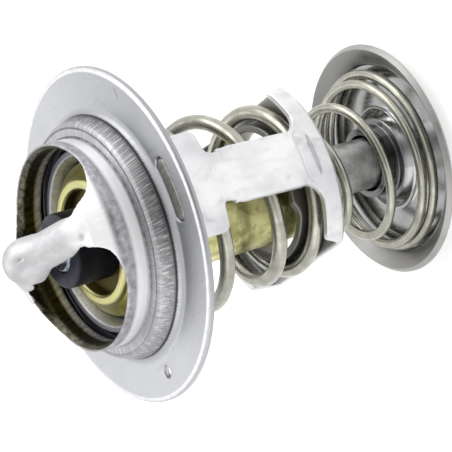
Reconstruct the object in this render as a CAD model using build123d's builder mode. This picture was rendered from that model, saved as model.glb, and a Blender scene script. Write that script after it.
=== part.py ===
"""Engine thermostat of the wax capsule type, standing on its bypass disc.

The datum is the rear seating face of the flange at z = 0. The valve axis is Z with
the nose at the top, and the two legs of the frame lie along X. Sizes are in mm.
"""

import os
from math import atan2, cos, degrees, hypot, pi, radians, sin

from build123d import *

# Housing stamping
flange_radius = 27.0
housing_sheet = 1.0
flange_edge_round = 0.4
vent_radius = 1.0
vent_share = 0.4225
skirt_taper = 1.2
skirt_top_radius = 18.7
shoulder_height = 4.7
shoulder_bend = 0.35
shoulder_width = 2.1
rim_height = 9.0
bridge_bend_height = 9.3
bridge_bend = 2.5
window_end_margin = 1.9
window_corner_radius = 2.8
bridge_half_width = 3.0
bridge_peak_height = 20.2
bridge_fall = 0.525
bridge_depth = 3.2
bridge_edge_height = 12.8
nose_radius = 3.5
nose_length = 5.7
nose_height = 20.5

# Slots in the flange, and the tabs of the frame that are clinched in them
slot_inset = 2.2
slot_width = 2.6
slot_half_angle = 13.5
tab_clearance = 0.15
tab_recess = 0.15

# Frame stamping
frame_sheet = 1.2
foot_half_width = 8.3
foot_length = 7.2
neck_half_width = 3.9
neck_length = 2.6
leg_half_width = 4.4
foot_bend_depth = 0.9
leg_flange_depth = 2.4
plate_radius = 18.0
plate_half_width = 13.5
plate_height = -31.0
end_wall_height = 4.3
end_wall_slant = 1.1
end_wall_fillet = 3.0
collar_bore = 10.1
collar_length = 5.5
pocket_half_length = 4.2
pocket_width = 2.8
pocket_depth = 0.7

# Valve and capsule
seat_gap = 0.3
seal_height = 1.7
seal_side_clearance = 0.5
valve_plate_sheet = 0.8
valve_plate_rim = 0.8
valve_ridge_width = 0.98
valve_ridge_rise = 2.6
valve_ridge_lean = 0.35
cup_radius = 8.3
cup_wall = 0.8
cup_rear_height = -34.2
cup_collar_clearance = 0.5
cup_collar_height = 1.7
cup_rim_inset = 2.2
cup_rim_height = 3.7
cup_lip_width = 1.7
sleeve_radius = 5.95
sleeve_length = 7.4
guide_radius = 3.4
guide_flange = 0.7
guide_tip = 0.15
piston_radius = 1.9
piston_clearance = 0.05
boot_radius = 3.8
boot_length = 24.0
boot_flange = 0.4
boot_head = 1.2
washer_thickness = 0.8
washer_radius = 5.0

# Stem, bypass disc and snap ring
stem_radius = 4.2
stem_play = 0.5
disc_radius = 18.6
disc_sheet = 1.1
disc_seat_radius = 15.6
disc_rim_rise = 2.3
disc_height = -52.3
disc_neck_length = 4.7
disc_hub_radius = 8.2
disc_hub_rise = 1.9
ring_thickness = 1.0
ring_radius = 6.0
ring_groove_depth = 0.6
ring_opening = 70.0

# Springs
spring_gap = 0.15
main_wire = 2.4
main_spring_inset = 1.5
main_rear_radius = 13.1
bypass_wire = 1.55
bypass_small_radius = 8.0
bypass_large_radius = 14.7

# Radii that follow from the sizes above
skirt_foot_radius = skirt_top_radius + skirt_taper
dome_radius = skirt_top_radius - shoulder_width
window_half_length = dome_radius - window_end_margin
vent_offset = skirt_foot_radius + vent_share * (flange_radius - skirt_foot_radius)
slot_radius = skirt_foot_radius + slot_inset
foot_radius = slot_radius
leg_top_radius = foot_radius - foot_bend_depth
seal_inner_radius = dome_radius - housing_sheet
seal_radius = skirt_top_radius - housing_sheet - seal_side_clearance
ridge_foot = valve_ridge_width / 2 + valve_ridge_lean * valve_ridge_rise
valve_ridge_radius = seal_inner_radius - ridge_foot
cup_collar_radius = valve_ridge_radius - ridge_foot - cup_collar_clearance
cup_rim_radius = cup_collar_radius - cup_rim_inset
cup_mouth_radius = cup_rim_radius - cup_lip_width
main_front_radius = seal_radius - main_spring_inset

# Heights that follow from the sizes above
seat_height = shoulder_height - housing_sheet
seal_top = seat_height - seat_gap
plate_front = seal_top - seal_height
valve_rear = plate_front - valve_plate_sheet
cup_front = plate_front + cup_wall
cup_rim_top = plate_front + cup_rim_height
boot_flange_top = cup_front + boot_flange
guide_flange_top = boot_flange_top + guide_flange
boot_head_rear = cup_front - boot_head
piston_top = nose_height - housing_sheet
frame_rear_seat = plate_height + frame_sheet
disc_rear = disc_height - disc_sheet
ring_seat = disc_rear + disc_hub_rise
guide_bore = piston_radius + piston_clearance
slot_turn = slot_half_angle - degrees(slot_width / 2 / slot_radius)

os.makedirs("parts", exist_ok=True)


def arch(half_width, crown, edge):
    """Centre height, radius and half angle of the arc from edge over the crown."""
    rise = crown - edge
    radius = (half_width**2 + rise**2) / (2 * rise)
    return crown - radius, radius, degrees(atan2(half_width, radius - rise))


def lower_of(a, b, softness):
    """The lower of two heights, with a soft change from one to the other."""
    return (a + b - hypot(a - b, softness)) / 2


def upper_of(a, b, softness):
    """The upper of two heights, with a soft change from one to the other."""
    return (a + b + hypot(a - b, softness)) / 2


def along(rows, turn):
    """Smooth value at a turn, from rows of a turn and the value there."""
    last = len(rows) - 1
    i = max(k for k in range(last) if rows[k][0] <= turn or k == 0)
    (t0, v0), (t1, v1) = rows[i], rows[i + 1]
    slopes = []
    for k in (i, i + 1):
        before, after = rows[max(k - 1, 0)], rows[min(k + 1, last)]
        flat = (rows[k][1] - before[1]) * (after[1] - rows[k][1]) == 0
        slopes.append(0 if flat else (after[1] - before[1]) / (after[0] - before[0]))
    s = (turn - t0) / (t1 - t0)
    span = t1 - t0
    return (
        v0 * (1 + 2 * s) * (1 - s) ** 2
        + slopes[0] * span * s * (1 - s) ** 2
        + v1 * s**2 * (3 - 2 * s)
        - slopes[1] * span * s**2 * (1 - s)
    )


def coil(start_angle, turns, radii, heights, steps=12):
    """Points of a right-hand coil that runs rearward from its front end."""
    count = round(turns * steps)
    points = []
    for k in range(count + 1):
        turn = turns * k / count
        angle = radians(start_angle) - 2 * pi * turn
        r = along(radii, turn)
        points.append((r * cos(angle), r * sin(angle), along(heights, turn)))
    return points


def round_corners(drawing, radius, *points):
    """Rounds the corners of a line or sketch in the making that lie at the points."""
    for point in points:
        fillet(drawing.vertices().sort_by_distance((*point, 0))[:1], radius)


# Housing: flange, skirt, shoulder, dome, bridge and nose are one drawn sheet
foot_reach = dome_radius - window_half_length + 2.1
crown_line = bridge_bend_height + dome_radius
strap_reach = dome_radius - foot_reach + 1.0
with BuildPart() as housing:
    with BuildSketch(Plane.XZ):
        with BuildLine() as wall:
            Polyline(
                (flange_radius, housing_sheet),
                (skirt_foot_radius, housing_sheet),
                (skirt_top_radius, shoulder_height),
                (dome_radius, shoulder_height),
                (dome_radius, bridge_bend_height),
                (dome_radius - foot_reach, bridge_bend_height + foot_reach),
            )
            round_corners(wall, shoulder_bend, (dome_radius, shoulder_height))
            round_corners(
                wall,
                1.2 * housing_sheet,
                (skirt_foot_radius, housing_sheet),
                (skirt_top_radius, shoulder_height),
            )
            round_corners(wall, bridge_bend, (dome_radius, bridge_bend_height))
            offset(amount=housing_sheet, side=Side.LEFT)
        make_face()
    revolve(axis=Axis.Z)
    # windows on both sides of the bridge
    with BuildSketch(Plane.XY.offset(rim_height)):
        with GridLocations(0, 2 * (bridge_half_width + dome_radius), 1, 2):
            RectangleRounded(2 * window_half_length, 2 * dome_radius, window_corner_radius)
    extrude(amount=nose_height, mode=Mode.SUBTRACT)
    # strap: an arched channel that flattens toward the feet
    for step in range(7):
        station = strap_reach * (1 - step / 6)
        crown = lower_of(crown_line - station, bridge_peak_height - bridge_fall * station, 0.6)
        cone_edge = crown_line - hypot(station, bridge_half_width)
        edge = upper_of(crown - bridge_depth, bridge_edge_height, 0.6)
        edge = lower_of(cone_edge, edge, 0.6)
        centre, radius, spread = arch(bridge_half_width, crown, edge)
        inner = radius - housing_sheet
        with BuildSketch(Plane.YZ.offset(station)):
            with BuildLine():
                CenterArc((0, centre), radius, 90 - spread, 2 * spread)
                CenterArc((0, centre), inner, 90 - spread, 2 * spread)
                for side in (radians(90 - spread), radians(90 + spread)):
                    Line(
                        (radius * cos(side), centre + radius * sin(side)),
                        (inner * cos(side), centre + inner * sin(side)),
                    )
            make_face()
    loft()
    mirror(about=Plane.YZ)
    # nose, and the pocket inside it that takes the piston's thrust
    with BuildSketch(Plane.XZ):
        with BuildLine():
            Polyline(
                (0, nose_height),
                (0, nose_height - nose_length),
                (nose_radius, nose_height - nose_length),
                (nose_radius, nose_height - nose_radius),
            )
            CenterArc((0, nose_height - nose_radius), nose_radius, 0, 90)
        make_face()
    revolve(axis=Axis.Z)
    with BuildSketch(Plane.XZ) as pocket:
        with BuildLine():
            cavity = nose_radius - housing_sheet
            Polyline(
                (0, piston_top),
                (0, rim_height),
                (cavity, rim_height),
                (cavity, piston_top),
                (0, piston_top),
            )
        make_face()
        round_corners(pocket, 0.3 * cavity, (cavity, piston_top))
    revolve(axis=Axis.Z, mode=Mode.SUBTRACT)
    # slots for the frame's tabs, and the vent hole
    with BuildSketch() as slots:
        for middle in (0, 180):
            with BuildLine():
                path = CenterArc((0, 0), slot_radius, middle - slot_turn, 2 * slot_turn)
            SlotArc(path.edge(), slot_width)
        with Locations((0, -vent_offset)):
            Circle(vent_radius)
    extrude(amount=housing_sheet, mode=Mode.SUBTRACT)
    fillet(
        housing.edges()
        .filter_by(GeomType.CIRCLE)
        .filter_by(lambda e: e.radius > flange_radius - 0.01 and e.center().Z > housing_sheet / 2),
        flange_edge_round,
    )


# Frame: one stamping from the clinched tabs down to the rear plate and its collar
strap_top = -foot_length - neck_length
with BuildPart() as frame:
    with BuildSketch(Plane.XZ):
        with BuildLine() as side:
            Polyline(
                (foot_radius, 0),
                (foot_radius, -foot_length),
                (leg_top_radius, strap_top),
                (plate_radius, plate_height),
                (collar_bore + frame_sheet, plate_height),
            )
            round_corners(side, 3.0, (foot_radius, -foot_length), (leg_top_radius, strap_top))
            round_corners(side, 1.5 * frame_sheet, (plate_radius, plate_height))
            offset(amount=frame_sheet, side=Side.RIGHT)
        make_face()
    revolve(axis=Axis.Z)
    # outline of the blank as seen along X
    with BuildSketch(Plane.YZ) as shape:
        with BuildLine():
            Polyline(
                (0, 0),
                (foot_half_width, 0),
                (foot_half_width, -foot_length),
                (neck_half_width, -foot_length),
                (neck_half_width, strap_top),
                (leg_half_width, strap_top),
                (leg_half_width, plate_height + end_wall_height),
                (plate_half_width - end_wall_slant, plate_height + end_wall_height),
                (plate_half_width, plate_height),
                (0, plate_height),
                (0, 0),
            )
        make_face()
        round_corners(shape, 0.4 * neck_length, (foot_half_width, -foot_length))
        round_corners(shape, 0.4 * neck_length, (neck_half_width, -foot_length))
        round_corners(shape, 0.8 * (leg_half_width - neck_half_width), (neck_half_width, strap_top))
        round_corners(shape, end_wall_fillet, (leg_half_width, plate_height + end_wall_height))
        mirror(about=Plane.YZ)
    extrude(amount=foot_radius + 1, both=True, mode=Mode.INTERSECT)
    # collar drawn forward out of the plate
    with BuildSketch(Plane.XZ):
        with BuildLine() as draw:
            Polyline(
                (collar_bore + 2.5 * frame_sheet, plate_height),
                (collar_bore, plate_height),
                (collar_bore, plate_height + collar_length),
            )
            round_corners(draw, frame_sheet, (collar_bore, plate_height))
            offset(amount=frame_sheet, side=Side.RIGHT)
        make_face()
    revolve(axis=Axis.Z)
    # edges of the strap turned inward
    fall = (leg_top_radius - plate_radius) / (strap_top - plate_height)
    flange_rear = plate_height + end_wall_height + end_wall_fillet
    flange_front = strap_top - frame_sheet
    with BuildSketch(Plane.XZ.offset(leg_half_width - frame_sheet)):
        with BuildLine():
            outer_front = leg_top_radius - 0.8 * frame_sheet
            outer_rear = outer_front - fall * (flange_front - flange_rear)
            Polyline(
                (outer_front, flange_front),
                (outer_front - leg_flange_depth + frame_sheet, flange_front - frame_sheet),
                (outer_rear - leg_flange_depth + frame_sheet, flange_rear),
                (outer_rear, flange_rear),
                (outer_front, flange_front),
            )
        make_face()
        mirror(about=Plane.YZ)
    turned = extrude(amount=frame_sheet)
    mirror(turned, about=Plane.XZ)
    # pocket pressed into each leg ahead of the rear plate
    pocket_height = plate_height + end_wall_height + pocket_width / 2 - 0.8
    pocket_floor = leg_top_radius - fall * (strap_top - pocket_height) - pocket_depth
    for away in (-1, 1):
        with BuildSketch(Plane.YZ.offset(away * pocket_floor)):
            with Locations((0, pocket_height)):
                SlotOverall(2 * pocket_half_length, pocket_width)
        extrude(amount=away * 4 * frame_sheet, mode=Mode.SUBTRACT)
    # tabs clinched in the flange's slots
    with BuildSketch():
        for middle in (0, 180):
            with BuildLine():
                path = CenterArc((0, 0), slot_radius, middle - slot_turn, 2 * slot_turn)
            SlotArc(path.edge(), slot_width - 2 * tab_clearance)
    extrude(amount=housing_sheet - tab_recess)


# Main spring: pushes the valve plate forward against its seat
main_turns = 4.05
main_front_height = valve_rear - spring_gap - main_wire / 2
main_travel = frame_rear_seat + spring_gap + main_wire / 2 - main_front_height
with BuildPart() as main_spring:
    with BuildLine() as main_path:
        Spline(
            *coil(
                180,
                main_turns,
                ((0, main_front_radius), (0.5, main_front_radius), (3.5, main_rear_radius), (main_turns, main_rear_radius)),
                [
                    (turn, main_front_height + share * main_travel)
                    for turn, share in (
                        (0, 0),
                        (0.45, 0),
                        (0.75, 0.03),
                        (1.0, 0.112),
                        (1.25, 0.209),
                        (2.25, 0.593),
                        (3.0, 0.884),
                        (3.25, 0.966),
                        (3.5, 1),
                        (main_turns, 1),
                    )
                ],
            )
        )
    with BuildSketch(Plane(origin=main_path.line @ 0, z_dir=main_path.line % 0)):
        Circle(main_wire / 2)
    sweep(is_frenet=True)


# Bypass spring: pushes the bypass disc rearward against the snap ring
bypass_turns = 4.75
bypass_front_height = cup_rear_height - spring_gap - bypass_wire / 2
bypass_travel = disc_height + spring_gap + bypass_wire / 2 - bypass_front_height
bypass_growth = bypass_large_radius - bypass_small_radius
with BuildPart() as bypass_spring:
    with BuildLine() as bypass_path:
        Spline(
            *coil(
                0,
                bypass_turns,
                [
                    (turn, bypass_small_radius + share * bypass_growth)
                    for turn, share in (
                        (0, 0),
                        (0.6, 0.0),
                        (1.25, 0.18),
                        (2.25, 0.54),
                        (3.25, 0.89),
                        (3.75, 0.95),
                        (4.25, 1),
                        (bypass_turns, 1),
                    )
                ],
                [
                    (turn, bypass_front_height + share * bypass_travel)
                    for turn, share in (
                        (0, 0),
                        (0.35, 0),
                        (0.75, 0.05),
                        (1.25, 0.215),
                        (1.75, 0.43),
                        (2.25, 0.63),
                        (2.75, 0.785),
                        (3.25, 0.87),
                        (3.75, 0.908),
                        (4.25, 0.96),
                        (bypass_turns, 1),
                    )
                ],
            )
        )
    with BuildSketch(Plane(origin=bypass_path.line @ 0, z_dir=bypass_path.line % 0)):
        Circle(bypass_wire / 2)
    sweep(is_frenet=True)


# Valve plate: pressed on the capsule, with a raised ring that enters the dome's throat
wall_across = valve_plate_sheet * hypot(1, valve_ridge_lean)
rear_foot = ridge_foot + valve_ridge_lean * valve_plate_sheet - wall_across
groove_top = plate_front + (ridge_foot - wall_across) / valve_ridge_lean
with BuildPart() as valve_plate:
    with BuildSketch(Plane.XZ):
        with BuildLine():
            Polyline(
                (cup_radius, plate_front),
                (valve_ridge_radius - ridge_foot, plate_front),
                (valve_ridge_radius - valve_ridge_width / 2, plate_front + valve_ridge_rise),
                (valve_ridge_radius + valve_ridge_width / 2, plate_front + valve_ridge_rise),
                (valve_ridge_radius + ridge_foot, plate_front),
                (seal_radius - valve_plate_rim, plate_front),
                (seal_radius - valve_plate_rim, valve_rear),
                (valve_ridge_radius + rear_foot, valve_rear),
                (valve_ridge_radius, groove_top),
                (valve_ridge_radius - rear_foot, valve_rear),
                (cup_radius, valve_rear),
                (cup_radius, plate_front),
            )
        make_face()
    revolve(axis=Axis.Z)


# Valve seal: rubber moulded on the plate's rim, facing the housing's shoulder
with BuildPart() as valve_seal:
    with BuildSketch(Plane.XZ) as seal_section:
        with BuildLine():
            Polyline(
                (seal_inner_radius, plate_front),
                (seal_inner_radius, seal_top),
                (seal_radius, seal_top),
                (seal_radius, valve_rear),
                (seal_radius - valve_plate_rim, valve_rear),
                (seal_radius - valve_plate_rim, plate_front),
                (seal_inner_radius, plate_front),
            )
        make_face()
        round_corners(
            seal_section, seal_height / 4, (seal_inner_radius, seal_top), (seal_radius, seal_top)
        )
    revolve(axis=Axis.Z)


# Wax cup: brass capsule whose collar is rolled over the guide's flange
collar_inner = cup_collar_radius - cup_wall - 0.3
with BuildPart() as wax_cup:
    with BuildSketch(Plane.XZ) as cup_section:
        with BuildLine():
            Polyline(
                (0, cup_rear_height),
                (cup_radius, cup_rear_height),
                (cup_radius, plate_front),
                (cup_collar_radius, plate_front),
                (cup_collar_radius, plate_front + cup_collar_height),
                (cup_rim_radius + 0.3, cup_rim_top - 0.7),
                (cup_rim_radius - 0.4, cup_rim_top),
                (cup_mouth_radius, cup_rim_top),
                (cup_mouth_radius, guide_flange_top),
                (collar_inner, guide_flange_top),
                (collar_inner, cup_front),
                (cup_radius - cup_wall, cup_front),
                (cup_radius - cup_wall, cup_rear_height + cup_wall),
                (0, cup_rear_height + cup_wall),
                (0, cup_rear_height),
            )
        make_face()
        round_corners(cup_section, 0.5, (cup_mouth_radius, cup_rim_top))
        round_corners(cup_section, 0.9, (cup_rim_radius - 0.4, cup_rim_top))
        round_corners(cup_section, 0.4, (cup_radius, cup_rear_height))
    revolve(axis=Axis.Z)


# Guide: steel tube with the flange that the capsule's collar holds
with BuildPart() as guide:
    with BuildSketch(Plane.XY.offset(boot_flange_top)):
        Circle(collar_inner)
    extrude(amount=guide_flange)
    with BuildSketch(Plane.XY.offset(guide_flange_top)):
        Circle(guide_radius)
    extrude(amount=sleeve_length + guide_tip)
    with BuildSketch(Plane.XY.offset(boot_flange_top)):
        Circle(guide_bore)
    extrude(amount=guide_flange + sleeve_length + guide_tip, mode=Mode.SUBTRACT)
    chamfer(guide.edges().filter_by(GeomType.CIRCLE).group_by(Axis.Z)[-1], 0.5)


# Guide sleeve: rubber round the guide, standing up inside the dome
with BuildPart() as guide_sleeve:
    with BuildSketch(Plane.XY.offset(guide_flange_top)):
        Circle(sleeve_radius)
        Circle(guide_radius, mode=Mode.SUBTRACT)
    extrude(amount=sleeve_length)
    fillet(guide_sleeve.edges().group_by(Axis.Z)[-1].sort_by(SortBy.RADIUS)[-1:], 0.6)


# Piston boot: rubber tube, closed at its rear end, that the piston pushes on
with BuildPart() as piston_boot:
    with BuildSketch(Plane.XZ) as boot_section:
        with BuildLine():
            Polyline(
                (0, boot_head_rear - boot_length),
                (boot_radius, boot_head_rear - boot_length),
                (boot_radius, boot_head_rear),
                (cup_radius - cup_wall, boot_head_rear),
                (cup_radius - cup_wall, cup_front),
                (collar_inner, cup_front),
                (collar_inner, boot_flange_top),
                (washer_radius, boot_flange_top),
                (washer_radius, boot_flange_top - washer_thickness),
                (guide_bore, boot_flange_top - washer_thickness),
                (guide_bore, boot_head_rear - boot_length + 1.5),
                (0, boot_head_rear - boot_length + 1.5),
                (0, boot_head_rear - boot_length),
            )
        make_face()
        round_corners(boot_section, 1.0, (boot_radius, boot_head_rear - boot_length))
    revolve(axis=Axis.Z)


# Boot washer: keeps the boot's head out of the guide's clearance
with BuildPart() as boot_washer:
    with BuildSketch(Plane.XY.offset(boot_flange_top - washer_thickness)):
        Circle(washer_radius)
        Circle(guide_bore, mode=Mode.SUBTRACT)
    extrude(amount=washer_thickness)


# Wax charge: fills the capsule round the boot
with BuildPart() as wax_charge:
    with BuildSketch(Plane.XY.offset(cup_rear_height + cup_wall)):
        Circle(cup_radius - cup_wall)
    extrude(amount=boot_head_rear - cup_rear_height - cup_wall)
    add(piston_boot.part, mode=Mode.SUBTRACT)
    with BuildSketch(Plane.XY.offset(boot_head_rear - boot_length + 1.0)):
        Circle(boot_radius)
    extrude(amount=boot_length, mode=Mode.SUBTRACT)


# Piston: stands in the nose's pocket and reaches down into the boot
piston_rear = boot_head_rear - boot_length + 1.5 + seat_gap
with BuildPart() as piston:
    with BuildSketch(Plane.XY.offset(piston_rear)):
        Circle(piston_radius)
    extrude(amount=piston_top - piston_rear)
    chamfer(piston.edges().group_by(Axis.Z)[0], 0.7)
    fillet(piston.edges().group_by(Axis.Z)[-1], 0.4)


# Stem: carries the bypass disc, with a groove near its end for the snap ring
stem_end = disc_rear + seat_gap
with BuildPart() as stem:
    with BuildSketch(Plane.XY.offset(stem_end)):
        Circle(stem_radius)
    extrude(amount=cup_rear_height - stem_end)
    chamfer(stem.edges().group_by(Axis.Z)[0], 0.25)
    with BuildSketch(Plane.XY.offset(ring_seat - ring_thickness)):
        Circle(2 * stem_radius)
        Circle(stem_radius - ring_groove_depth, mode=Mode.SUBTRACT)
    extrude(amount=ring_thickness, mode=Mode.SUBTRACT)


# Bypass disc: dished, with a hub drawn forward that slides on the stem
neck_bore = stem_radius + stem_play
with BuildPart() as bypass_disc:
    with BuildSketch(Plane.XZ):
        with BuildLine() as bowl:
            shelf_front = ring_seat + disc_sheet
            Polyline(
                (disc_radius, disc_height + disc_rim_rise),
                (disc_seat_radius, disc_height),
                (disc_hub_radius, disc_height),
                (disc_hub_radius - 0.7 * disc_hub_rise, shelf_front),
                (neck_bore + disc_sheet, shelf_front),
                (neck_bore + disc_sheet, disc_height + disc_neck_length),
            )
            round_corners(bowl, 0.6, (disc_seat_radius, disc_height))
            round_corners(bowl, 0.3, (neck_bore + disc_sheet, shelf_front))
            offset(amount=disc_sheet, side=Side.LEFT)
        make_face()
    revolve(axis=Axis.Z)


# Snap ring: open ring in the stem's groove, behind the disc's hub
with BuildPart() as snap_ring:
    with BuildSketch(Plane.XY.offset(ring_seat - ring_thickness)):
        Circle(ring_radius)
        Circle(stem_radius - ring_groove_depth, mode=Mode.SUBTRACT)
        with BuildLine():
            Line((0, 0), (0, -2 * ring_radius))
            reach = 2 * ring_radius
            turn = radians(ring_opening)
            Line((0, -reach), (reach * sin(turn), -reach * cos(turn)))
            Line((reach * sin(turn), -reach * cos(turn)), (0, 0))
        make_face(mode=Mode.SUBTRACT)
    extrude(amount=ring_thickness)


for name, piece in (
    ("housing", housing),
    ("frame", frame),
    ("main_spring", main_spring),
    ("bypass_spring", bypass_spring),
    ("valve_plate", valve_plate),
    ("valve_seal", valve_seal),
    ("wax_cup", wax_cup),
    ("guide", guide),
    ("guide_sleeve", guide_sleeve),
    ("piston_boot", piston_boot),
    ("boot_washer", boot_washer),
    ("wax_charge", wax_charge),
    ("piston", piston),
    ("stem", stem),
    ("bypass_disc", bypass_disc),
    ("snap_ring", snap_ring),
):
    piece.part.label = name
    export_step(piece.part, f"parts/{name}.step")
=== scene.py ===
from math import cos, pi, radians, sin

import bpy
import numpy as np
from mathutils import Matrix


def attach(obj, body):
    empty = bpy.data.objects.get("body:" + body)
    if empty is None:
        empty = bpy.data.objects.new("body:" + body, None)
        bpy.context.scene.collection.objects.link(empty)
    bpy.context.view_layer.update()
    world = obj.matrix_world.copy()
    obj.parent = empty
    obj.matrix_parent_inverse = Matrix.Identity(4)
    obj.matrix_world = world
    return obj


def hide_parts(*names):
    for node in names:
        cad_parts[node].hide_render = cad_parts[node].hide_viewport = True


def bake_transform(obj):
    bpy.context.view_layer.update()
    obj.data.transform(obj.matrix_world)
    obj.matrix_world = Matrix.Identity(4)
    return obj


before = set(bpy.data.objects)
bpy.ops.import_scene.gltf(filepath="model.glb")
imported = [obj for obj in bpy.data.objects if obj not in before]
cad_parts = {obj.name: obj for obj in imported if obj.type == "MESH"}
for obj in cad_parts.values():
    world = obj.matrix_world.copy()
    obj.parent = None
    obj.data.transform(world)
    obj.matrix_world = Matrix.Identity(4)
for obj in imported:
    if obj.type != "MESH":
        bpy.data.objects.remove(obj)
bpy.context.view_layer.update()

# Housing. One sheet of steel, drawn into the flange, the stepped skirt, the shoulder and
# the dome, then pierced with two windows so that a bridge is left with a raised nose.
# The frame's tabs come through its two slots, and the small hole lets trapped air out.
sheet = 1.0


def offset_path(points, shift):
    """Path moved sideways, to the left of its direction of travel."""
    p = np.array(points, float)
    d = np.diff(p, axis=0)
    d /= np.linalg.norm(d, axis=1)[:, None]
    left = np.c_[-d[:, 1], d[:, 0]]
    moved = [p[0] + shift * left[0]]
    for a, b, q in zip(left[:-1], left[1:], p[1:-1]):
        moved.append(q + shift * (a + b) / (1 + a @ b))
    moved.append(p[-1] + shift * left[-1])
    return np.array(moved)


def rounded_path(points, radii, steps=7):
    """Path whose inner corners are arcs of the given radii."""
    p = np.array(points, float)
    path = [p[0]]
    for a, b, c, radius in zip(p[:-2], p[1:-1], p[2:], radii):
        u, v = (a - b) / np.linalg.norm(a - b), (c - b) / np.linalg.norm(c - b)
        half = np.arccos(np.clip(u @ v, -1, 1)) / 2
        if radius <= 0 or half > pi / 2 - 1e-3:
            path.append(b)
            continue
        centre = b + (u + v) / np.linalg.norm(u + v) * radius / np.sin(half)
        start, end = b + u * radius / np.tan(half), b + v * radius / np.tan(half)
        t = np.linspace(0, 1, steps)[:, None]
        arc = (1 - t) * (start - centre) + t * (end - centre)
        path.extend(centre + arc / np.linalg.norm(arc, axis=1)[:, None] * radius)
    path.append(p[-1])
    return np.array(path)


def path_distance(x, y, path):
    """Distance of points in a plane from a path."""
    nearest = np.full(np.shape(x), 1e9)
    for a, b in zip(path[:-1], path[1:]):
        d = b - a
        t = np.clip(((x - a[0]) * d[0] + (y - a[1]) * d[1]) / max(d @ d, 1e-12), 0, 1)
        nearest = np.minimum(nearest, np.hypot(x - a[0] - t * d[0], y - a[1] - t * d[1]))
    return nearest


def both(a, b, blend):
    """Where two solids overlap, with the edge between them rounded."""
    h = np.maximum(blend - np.abs(a - b), 0) / blend
    return np.maximum(a, b) + h * h * blend / 4


def either(a, b, blend):
    """Two solids joined, with a fillet between them."""
    return -both(-a, -b, blend)


def skin(solid, radii, heights, turns):
    """Closed skin of a solid, from a grid of radii, angles and heights."""
    angle = np.arange(turns) * 2 * pi / turns
    x = radii[:, None, None] * np.cos(angle)[None, :, None] + 0 * heights[None, None, :]
    y = radii[:, None, None] * np.sin(angle)[None, :, None] + 0 * heights[None, None, :]
    z = heights[None, None, :] + 0 * x
    grids = [np.concatenate([g, g[:, :1]], axis=1) for g in (solid(x, y, z), x, y, z)]
    inside = grids[0] < 0
    size = (len(radii) - 1, turns, len(heights) - 1)
    corners = [(i, j, k) for i in (0, 1) for j in (0, 1) for k in (0, 1)]
    full = sum(
        inside[i : i + size[0], j : j + size[1], k : k + size[2]].astype(np.int8)
        for i, j, k in corners
    )
    cells = np.argwhere((full > 0) & (full < 8))
    number = np.full(size, -1)
    number[tuple(cells.T)] = np.arange(len(cells))
    total, crossings = np.zeros((len(cells), 3)), np.zeros(len(cells))
    for corner in corners:
        for axis in range(3):
            if corner[axis]:
                continue
            near = tuple((cells + corner).T)
            far = tuple((cells + corner + np.eye(3, dtype=int)[axis]).T)
            a, b = grids[0][near], grids[0][far]
            cut = (a < 0) != (b < 0)
            t = np.where(cut, a / np.where(cut, a - b, 1), 0)
            for n in range(3):
                total[:, n] += cut * (grids[n + 1][near] * (1 - t) + grids[n + 1][far] * t)
            crossings += cut
    points = total / crossings[:, None]
    quads = []
    before = (np.arange(turns) - 1) % turns
    for axis in range(3):
        first = [slice(1, -1), slice(0, turns), slice(1, -1)]
        second = [slice(1, -1), slice(0, turns), slice(1, -1)]
        first[axis] = slice(0, turns) if axis == 1 else slice(0, -1)
        second[axis] = slice(1, None)
        a, b = inside[tuple(first)], inside[tuple(second)]
        i, j, k = np.nonzero(a != b)
        outward = a[i, j, k]
        i, k = i + (axis != 0), k + (axis != 2)
        if axis == 0:
            ring = (i, j, k), (i, before[j], k), (i, before[j], k - 1), (i, j, k - 1)
        elif axis == 1:
            ring = (i, j, k), (i, j, k - 1), (i - 1, j, k - 1), (i - 1, j, k)
        else:
            ring = (i, j, k), (i - 1, j, k), (i - 1, before[j], k), (i, before[j], k)
        quad = np.stack([number[c] for c in ring], axis=1)
        quads.append(np.where(outward[:, None], quad, quad[:, ::-1]))
    faces = np.concatenate(quads).tolist()
    for _ in range(3):
        value = solid(*points.T)
        slope = np.stack([(solid(*(points + 1e-3 * e).T) - value) / 1e-3 for e in np.eye(3)], 1)
        move = (value / np.maximum((slope**2).sum(1), 0.05))[:, None] * slope
        length = np.linalg.norm(move, axis=1)
        points = points - move * np.minimum(1, 0.15 / np.maximum(length, 1e-9))[:, None]
    if radii[0] == 0:
        for k in np.nonzero(inside[0, 0, :-1] != inside[0, 0, 1:])[0]:
            ring = number[0, :, k]
            points = np.vstack([points, points[ring].mean(0)])
            upward = inside[0, 0, k]
            for a, b in zip(ring.tolist(), np.roll(ring, -1).tolist()):
                faces.append((a, b, len(points) - 1) if upward else (b, a, len(points) - 1))
    return points, faces


def fit(name, points, faces, finish, node, body, slot):
    """Piece made from points in mm, standing for a CAD node and riding on its body."""
    mesh = bpy.data.meshes.new(name)
    mesh.from_pydata((np.asarray(points) / 1000).tolist(), [], faces)
    mesh.validate()
    mesh.shade_smooth()
    mesh.materials.append(finish)
    piece = bpy.data.objects.new(name, mesh)
    bpy.context.scene.collection.objects.link(piece)
    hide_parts(node)
    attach(piece, body)
    return piece


def grow(tree, kind, values=(), **settings):
    """New node in a tree, with its settings made and its inputs set or linked."""
    made = tree.nodes.new(kind)
    for key, value in settings.items():
        setattr(made, key, value)
    for key, value in dict(values).items():
        if isinstance(value, bpy.types.NodeSocket):
            tree.links.new(value, made.inputs[key])
        else:
            made.inputs[key].default_value = value
    return made


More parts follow.
